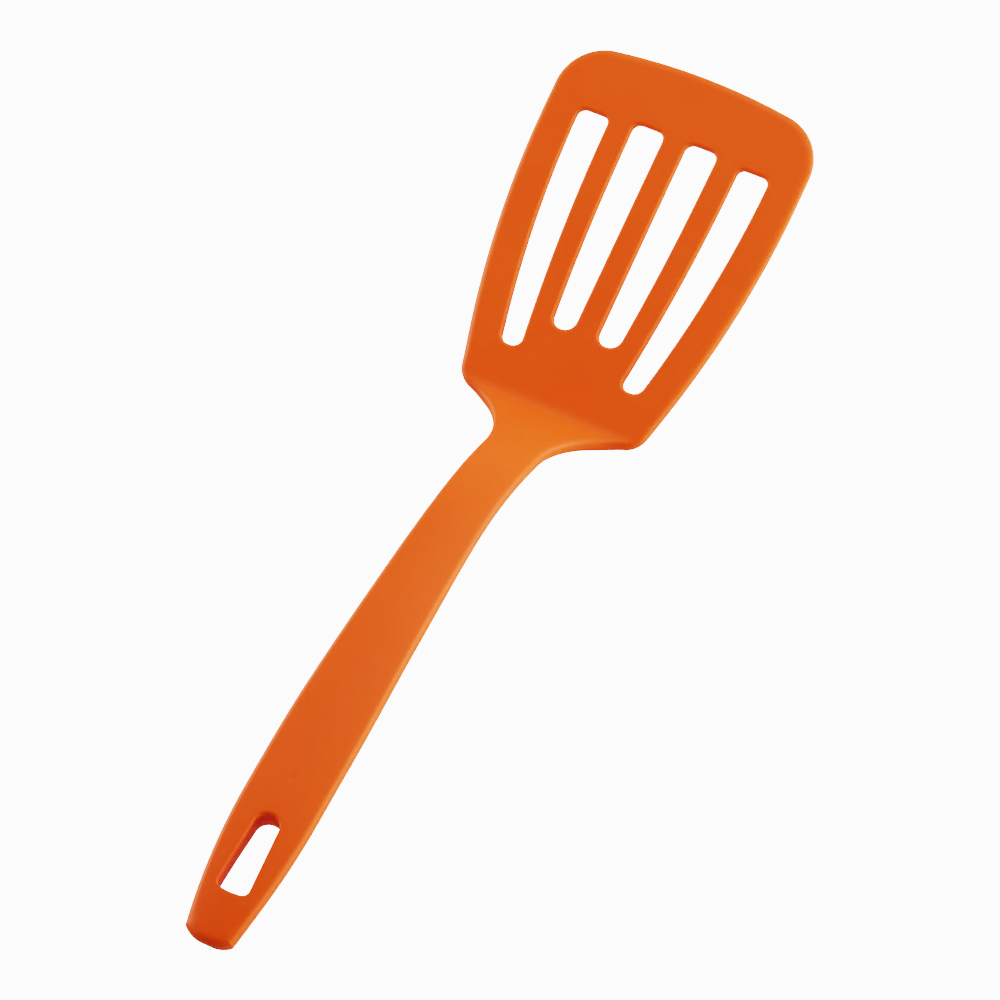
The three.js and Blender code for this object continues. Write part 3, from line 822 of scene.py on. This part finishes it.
def silicone():
    """Pigment clouds in the colour, mould pits in the roughness and the bump, and paler edges, partly worn
    and partly painted sheen.
    """
    made, tree, output, place = new_material("silicone_spark_matte_orange")
    clouds, pits = (
        node(tree, "ShaderNodeTexNoise", {"Vector": place, "Scale": 1 / (size * MM), "Detail": detail})
        for size, detail in ((CLOUD_SIZE, CLOUD_DETAIL), (PIT_SIZE, PIT_DETAIL))
    )
    edge = node(tree, "ShaderNodeAttribute", attribute_name="edge_nearness")
    pigment = node(tree, "ShaderNodeMix", {
        "Factor": clouds.outputs["Fac"], MIX_A: colour(SILICONE_CLOUD), MIX_B: colour(SILICONE_ORANGE),
    }, data_type="RGBA")
    # mixes the paler edge colour in near every edge: partly worn, partly painted sheen
    edge_worn_and_sheen = node(tree, "ShaderNodeMath", {0: edge.outputs["Fac"], 1: EDGE_WORN_AND_SHEEN_SHARE}, operation="MULTIPLY")
    paint = node(tree, "ShaderNodeMix", {
        "Factor": edge_worn_and_sheen.outputs[0], MIX_A: pigment.outputs[MIX_RESULT], MIX_B: colour(SILICONE_WORN_AND_SHEEN_EDGE),
    }, data_type="RGBA")
    lay(tree, output, paint.outputs[MIX_RESULT], pits.outputs["Fac"], SILICONE_ROUGHNESS, PIT_DEPTH,
        SILICONE_BODY)
    return made


skin.data.materials.append(silicone())
print("silicone on", skin.name)

# %% [markdown]
# ## Glass-filled nylon and spring steel, under the skin
# The handle core is injection-moulded nylon with short glass fibres, which leave pale flecks along the
# flow. The blade insert is stamped from cold-rolled stainless strip, whose roller marks run along its
# length. Both are hidden by the skin, and they still get their true finish for anyone who takes the
# turner apart.

# %% Stretched grain
GRAIN_DETAIL = 3.0


def grained(name, colours, grain, roughness, relief, finish):
    """Noise stretched along Y to grains of (width, length), in the colour, the roughness and the bump."""
    made, tree, output, place = new_material(name)
    width, length = np.array(grain) * MM
    stretch = node(tree, "ShaderNodeMapping", {"Vector": place, "Scale": (1 / width, 1 / length, 1 / width)})
    grains = node(tree, "ShaderNodeTexNoise", {
        "Vector": stretch.outputs["Vector"], "Scale": 1.0, "Detail": GRAIN_DETAIL,
    })
    paint = node(tree, "ShaderNodeMix", {
        "Factor": grains.outputs["Fac"], MIX_A: colour(colours[0]), MIX_B: colour(colours[1]),
    }, data_type="RGBA")
    lay(tree, output, paint.outputs[MIX_RESULT], grains.outputs["Fac"], roughness, relief, finish)
    return made


# %% Nylon
NYLON_ORANGE = "#C77A3D"
NYLON_FLECK = "#DDA570"
FIBRE_GRAIN = (0.25, 3.0)
FIBRE_RAISE = 0.02
NYLON_ROUGHNESS = (0.5, 0.68)
NYLON_BODY = {"IOR": 1.53}


def nylon():
    """Pale flecks of glass fibre along the flow."""
    return grained("nylon_glass_filled_moulded", (NYLON_ORANGE, NYLON_FLECK), FIBRE_GRAIN, NYLON_ROUGHNESS,
                   FIBRE_RAISE, NYLON_BODY)


# %% Spring steel
STEEL_GREY = "#C3C5C8"
STEEL_STREAK = "#AEB1B5"
ROLL_GRAIN = (0.15, 25.0)
ROLL_DEPTH = 0.004
STEEL_ROUGHNESS = (0.24, 0.4)
STEEL_BODY = {"Metallic": 1.0}


def spring_steel():
    """Long thin roller streaks on bare metal."""
    return grained("spring_steel_cold_rolled", (STEEL_GREY, STEEL_STREAK), ROLL_GRAIN, STEEL_ROUGHNESS,
                   ROLL_DEPTH, STEEL_BODY)


for name, finish in (("handle_core", nylon()), ("blade_insert", spring_steel())):
    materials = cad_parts[name].data.materials
    materials.clear()
    materials.append(finish)
    print(finish.name, "on", name)

# %% [markdown]
# ## The ground
# In the photograph the ground is plain white and holds no shadow, as over a sheet of acrylic that is lit
# from below. A sheet that bright would also light the turner's underside, and there the photograph is a
# deep red. So the ground is two planes: a pale table that only light meets, and just under it a lit sheet
# that only the camera meets. Blender's ray visibility switches decide which rays meet which plane.

# %% Table and lit sheet
FLOOR_HALF = 3000.0
TABLE_DROP = 0.1
SHEET_DROP = 0.5
TABLE_GREY = "#C8C8C8"
SHEET_WHITE = "#FFFFFF"
SHEET_GLOW = 5.0


def table_paper():
    """Plain matte paper: one pale colour and no gloss."""
    made, tree, output, _ = new_material("paper_pale_matte")
    shader = node(tree, "ShaderNodeBsdfPrincipled", {
        "Base Color": colour(TABLE_GREY), "Roughness": 1.0, "Specular IOR Level": 0.0,
    })
    tree.links.new(shader.outputs["BSDF"], output.inputs["Surface"])
    return made


def lit_acrylic():
    """White acrylic that glows evenly and shows nothing else."""
    made, tree, output, _ = new_material("acrylic_opal_lit")
    glow = node(tree, "ShaderNodeEmission", {"Color": colour(SHEET_WHITE), "Strength": SHEET_GLOW})
    tree.links.new(glow.outputs["Emission"], output.inputs["Surface"])
    return made


def ground(name, drop, finish):
    """A square plane that lies drop millimetres under the turner."""
    corners = np.array([[-1, -1, 0], [1, -1, 0], [1, 1, 0], [-1, 1, 0]]) * FLOOR_HALF
    made = put(name, (corners - [0, 0, drop]) * MM, [[0, 1, 2, 3]])
    made.data.materials.append(finish)
    return made


table = ground("table", TABLE_DROP, table_paper())
table.visible_camera = False
sheet = ground("sheet", SHEET_DROP, lit_acrylic())
sheet.visible_diffuse = sheet.visible_glossy = sheet.visible_transmission = sheet.visible_shadow = False
print("ground:", table.name, "for the light,", sheet.name, "for the camera")

# %% [markdown]
# ## Soft light
# The neck leans away from the camera and is bright, so most light comes from behind: a box over the tip,
# a low one behind it and one at the back right. Two low boxes at the sides draw the pale line along every
# edge, and being low they leave the walls of the hang hole dark. Large boxes close by have no hard
# shadows. The room adds a trace of even light, and the Filmic curve with its strongest contrast keeps the
# colours as deep as in the photograph.

# %% Lights
LIGHTS = {
    "top_back_soft_box": {"at": (0, 350, 850), "size": (800, 600), "power": 4.0},
    "back_low_soft_box": {"at": (0, 700, 220), "size": (1000, 350), "power": 1.4},
    "back_right_soft_box": {"at": (520, 520, 300), "size": (600, 450), "power": 5.1},
    "right_low_soft_box": {"at": (700, 60, 160), "size": (800, 280), "power": 5.15},
    "left_low_soft_box": {"at": (-700, 0, 180), "size": (800, 300), "power": 6.7},
}
AIM = Vector((0.0, 20.0, 10.0))
ROOM_WHITE = "#FFFFFF"
ROOM_STRENGTH = 0.12


def soft_box(name, at, size, power):
    """A rectangle of light that faces the turner. Size is in millimetres and power in watts."""
    lamp = bpy.data.lights.new(name, "AREA")
    lamp.shape = "RECTANGLE"
    lamp.size, lamp.size_y = size[0] * MM, size[1] * MM
    lamp.energy = power
    made = bpy.data.objects.new(name, lamp)
    made.location = Vector(at) * MM
    made.rotation_euler = (AIM - Vector(at)).to_track_quat("-Z", "Y").to_euler()
    bpy.context.scene.collection.objects.link(made)


for name, box in LIGHTS.items():
    soft_box(name, **box)
room = bpy.data.worlds.new("room")
room.use_nodes = True
room.node_tree.nodes["Background"].inputs["Color"].default_value = colour(ROOM_WHITE)
room.node_tree.nodes["Background"].inputs["Strength"].default_value = ROOM_STRENGTH
bpy.context.scene.world = room
bpy.context.scene.view_settings.view_transform = "Filmic"
bpy.context.scene.view_settings.look = "Very High Contrast"
print("lights:", sorted(LIGHTS))

# %% [markdown]
# ## The camera
# A long lens from more than a metre away keeps the turner's sides nearly parallel. The angles were found
# by laying the model's outline over the photograph. The lens follows from the focal length in pixels and
# the sensor's width.

# %% Camera
CAMERA_AZIMUTH = 27.341 * DEGREE
CAMERA_ELEVATION = 53.447 * DEGREE
CAMERA_DISTANCE = 1258.02
CAMERA_TARGET = Vector((1.627, 16.143, 2.0))
FOCAL_PIXELS = 4546.53
IMAGE_PIXELS = 1000
SENSOR_WIDTH = 36.0


def camera():
    """Stands back from the target along the azimuth and elevation, and looks at it."""
    back = Vector((math.sin(CAMERA_AZIMUTH) * math.cos(CAMERA_ELEVATION),
                   -math.cos(CAMERA_AZIMUTH) * math.cos(CAMERA_ELEVATION), math.sin(CAMERA_ELEVATION)))
    lens = bpy.data.cameras.new("camera")
    lens.sensor_width = SENSOR_WIDTH
    lens.lens = FOCAL_PIXELS / IMAGE_PIXELS * SENSOR_WIDTH
    made = bpy.data.objects.new("camera", lens)
    made.location = (CAMERA_TARGET + back * CAMERA_DISTANCE) * MM
    made.rotation_euler = (-back).to_track_quat("-Z", "Y").to_euler()
    bpy.context.scene.collection.objects.link(made)
    return made


bpy.context.scene.camera = camera()
print("lens:", round(bpy.context.scene.camera.data.lens, 1), "mm")
